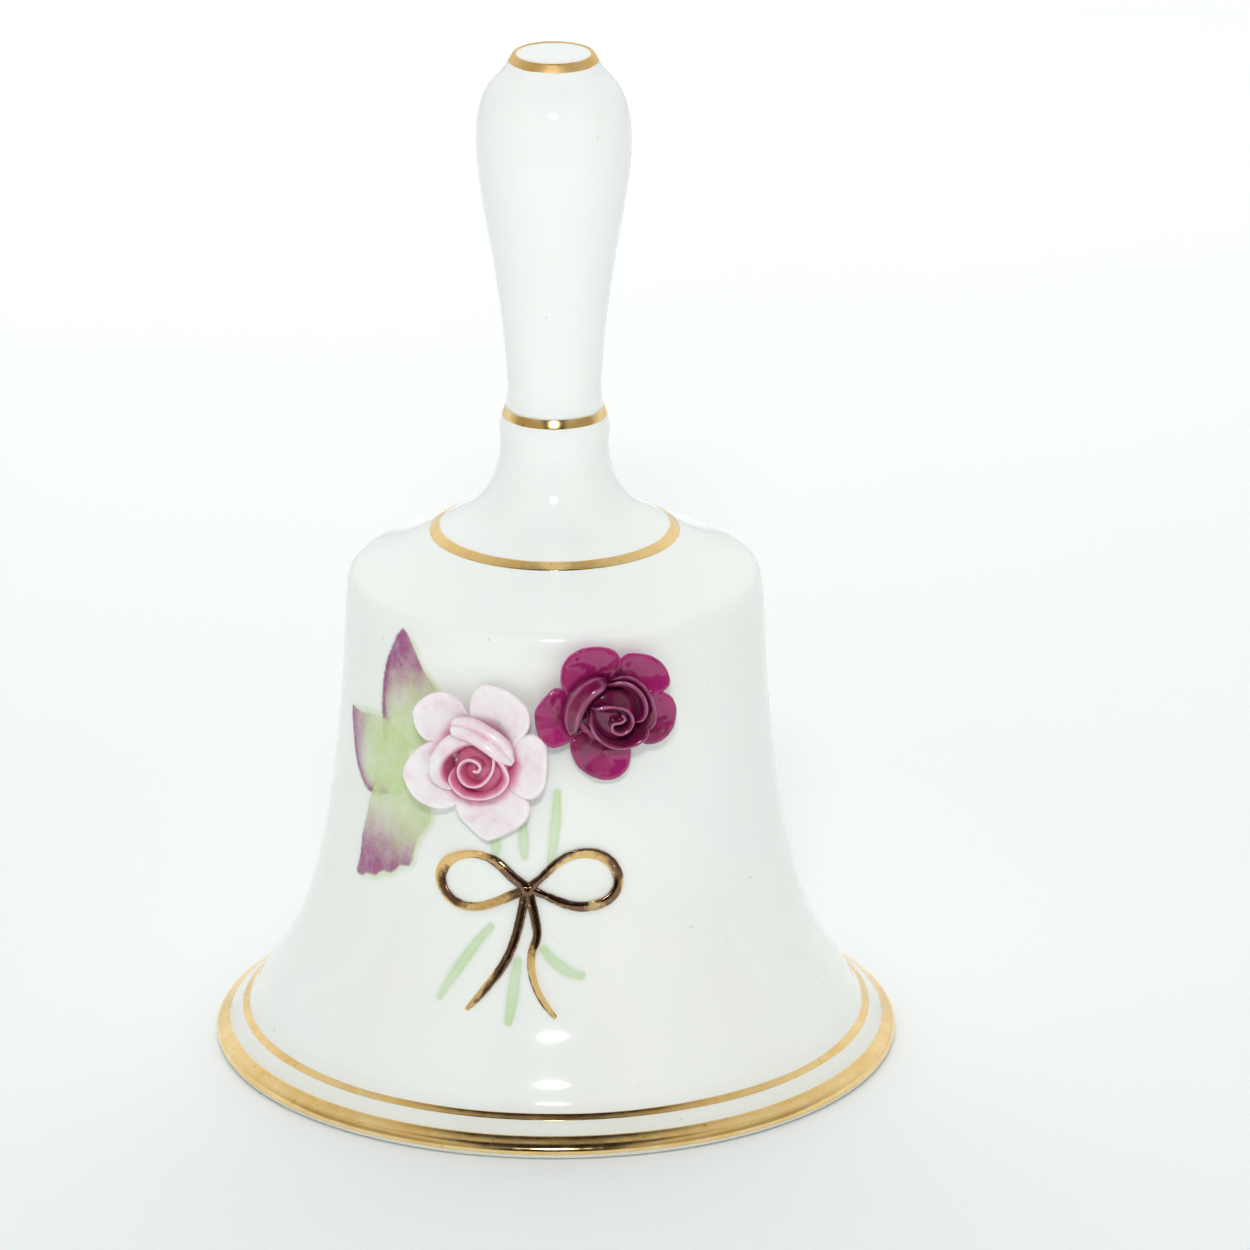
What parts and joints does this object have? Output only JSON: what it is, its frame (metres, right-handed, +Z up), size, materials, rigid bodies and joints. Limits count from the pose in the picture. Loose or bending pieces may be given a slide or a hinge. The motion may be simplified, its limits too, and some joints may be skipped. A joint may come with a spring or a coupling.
{
  "type": "porcelain hand bell",
  "caption": "Small white porcelain table bell with a slim handle, gilt bands, two applied roses, a gilded bow and a clapper on a wire link",
  "frame": {"origin": "centre of the rim's underside, on the surface that the bell stands on", "axes": "+Z up along the bell's axis, -Y towards the decorated front"},
  "size_m": [0.0762, 0.0762, 0.1142],
  "materials": {
    "porcelain": "white bone china under a clear gloss glaze",
    "pink_glaze": "white clay petals tinted pink, deeper in the folds, gloss glaze",
    "crimson_glaze": "crimson to plum enamel, gloss glaze",
    "gilding": "burnished bright gold over the glaze",
    "leaf_enamel": "hand-painted leaf and stem enamel, green to mauve",
    "brass_wire": "drawn brass wire, slightly dulled",
    "cement": "matt white potter's cement"
  },
  "bodies": {
    "bell": {"bell_body": "porcelain", "handle": "porcelain", "crown_plug": "cement", "clapper_eye": "brass_wire", "pink_rose_pad": "pink_glaze", "pink_rose_petal_1": "pink_glaze", "pink_rose_petal_2": "pink_glaze", "pink_rose_petal_3": "pink_glaze", "pink_rose_petal_4": "pink_glaze", "pink_rose_petal_5": "pink_glaze", "pink_rose_inner_petal_1": "pink_glaze", "pink_rose_inner_petal_2": "pink_glaze", "pink_rose_inner_petal_3": "pink_glaze", "pink_rose_bud": "pink_glaze", "crimson_rose_pad": "crimson_glaze", "crimson_rose_petal_1": "crimson_glaze", "crimson_rose_petal_2": "crimson_glaze", "crimson_rose_petal_3": "crimson_glaze", "crimson_rose_petal_4": "crimson_glaze", "crimson_rose_petal_5": "crimson_glaze", "crimson_rose_inner_petal_1": "crimson_glaze", "crimson_rose_inner_petal_2": "crimson_glaze", "crimson_rose_inner_petal_3": "crimson_glaze", "crimson_rose_bud": "crimson_glaze", "bow_knot": "gilding", "bow_loop_left": "gilding", "bow_loop_right": "gilding", "bow_tail_left": "gilding", "bow_tail_right": "gilding"},
    "link": {"clapper_link": "brass_wire"},
    "clapper": {"clapper_wire": "brass_wire", "clapper_ball": "porcelain"}
  },
  "joints": [
    {"name": "link_swing", "type": "hinge", "parent": "bell", "child": "link", "pos_m": [0, 0, 0.0565], "axis": [1, 0, 0], "range_deg": [-20, 20]},
    {"name": "clapper_swing", "type": "hinge", "parent": "link", "child": "clapper", "pos_m": [0, 0, 0.0525], "axis": [0, 1, 0], "range_deg": [-20, 20]}
  ]
}
